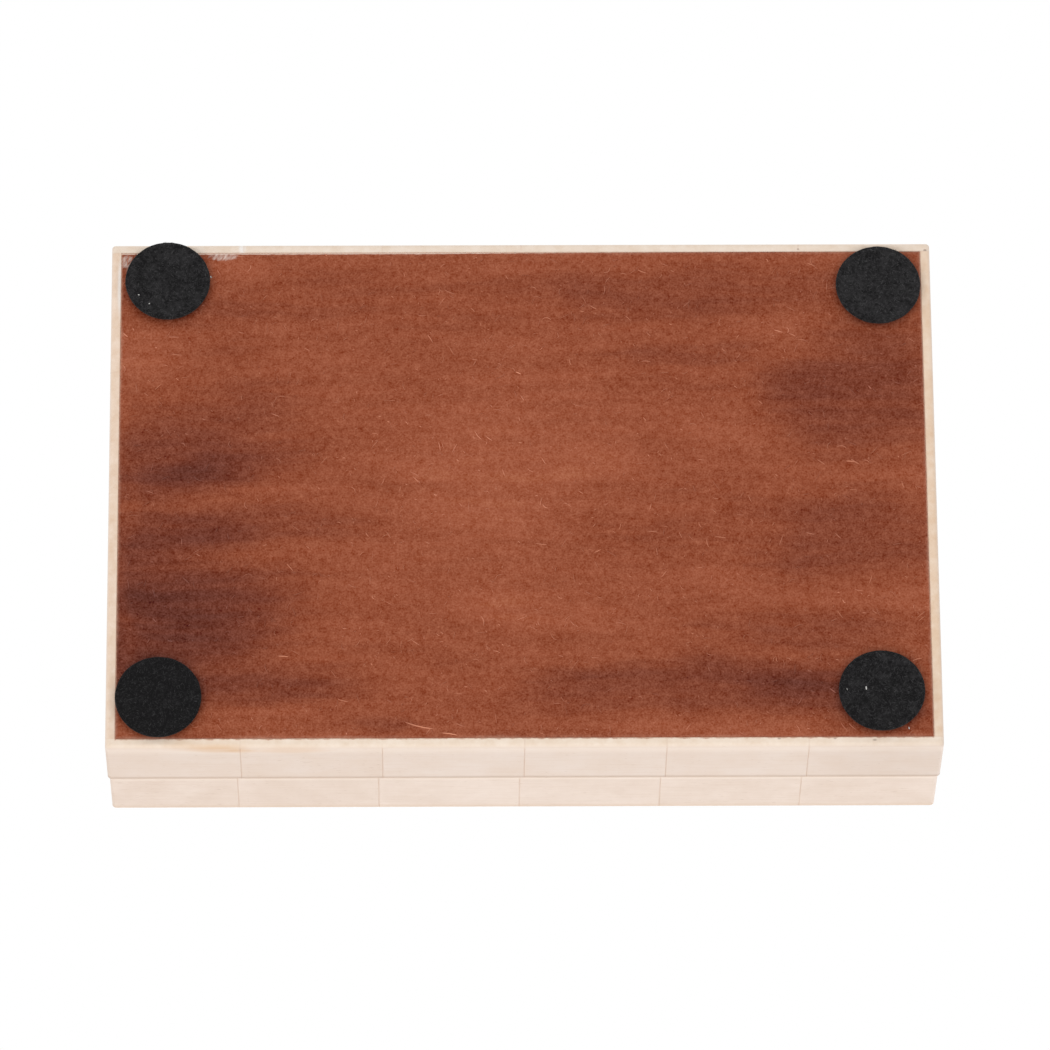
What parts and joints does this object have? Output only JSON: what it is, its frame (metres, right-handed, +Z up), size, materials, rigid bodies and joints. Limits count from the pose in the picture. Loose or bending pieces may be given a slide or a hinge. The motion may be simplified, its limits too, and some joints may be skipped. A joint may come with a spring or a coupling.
{
  "type": "card and dice box",
  "caption": "Shallow box with a lift-off lid, clad in square cream bone tiles, with card bays, a dice bay and felt feet.",
  "frame": {"origin": "centre of the closed box's outline, on the surface its felt feet stand on", "axes": "+X along the length to the right, +Y to the back, +Z up through the lid"},
  "size_m": [0.1906, 0.127, 0.0396],
  "materials": {
    "bone": "satin polished bone, cream, with hairline joints",
    "stained_hardboard": "red-brown stained hardboard, matt",
    "fibreboard": "brown stained fibreboard, matt",
    "stained_wood": "red-brown stained wood, satin",
    "lining_felt": "black pressed felt",
    "black_felt": "black die-cut felt, self-adhesive"
  },
  "bodies": {
    "base": {"bottom_panel": "stained_hardboard", "base_front_wall": "fibreboard", "base_back_wall": "fibreboard", "base_left_wall": "fibreboard", "base_right_wall": "fibreboard", "base_front_tiles": "bone", "base_back_tiles": "bone", "base_left_tiles": "bone", "base_right_tiles": "bone", "front_lining": "stained_wood", "back_lining": "stained_wood", "left_lining": "stained_wood", "right_lining": "stained_wood", "left_divider": "stained_wood", "right_divider": "stained_wood", "left_card_felt": "lining_felt", "dice_felt": "lining_felt", "right_card_felt": "lining_felt", "front_left_foot": "black_felt", "front_right_foot": "black_felt", "back_left_foot": "black_felt", "back_right_foot": "black_felt"},
    "lid": {"lid_board": "fibreboard", "lid_front_wall": "fibreboard", "lid_back_wall": "fibreboard", "lid_left_wall": "fibreboard", "lid_right_wall": "fibreboard", "lid_front_tiles": "bone", "lid_back_tiles": "bone", "lid_left_tiles": "bone", "lid_right_tiles": "bone", "lid_top_tiles": "bone"}
  },
  "joints": [
    {"name": "lid_lift", "type": "slide", "parent": "base", "child": "lid", "axis": [0, 0, 1], "range_m": [0, 0.1]}
  ]
}
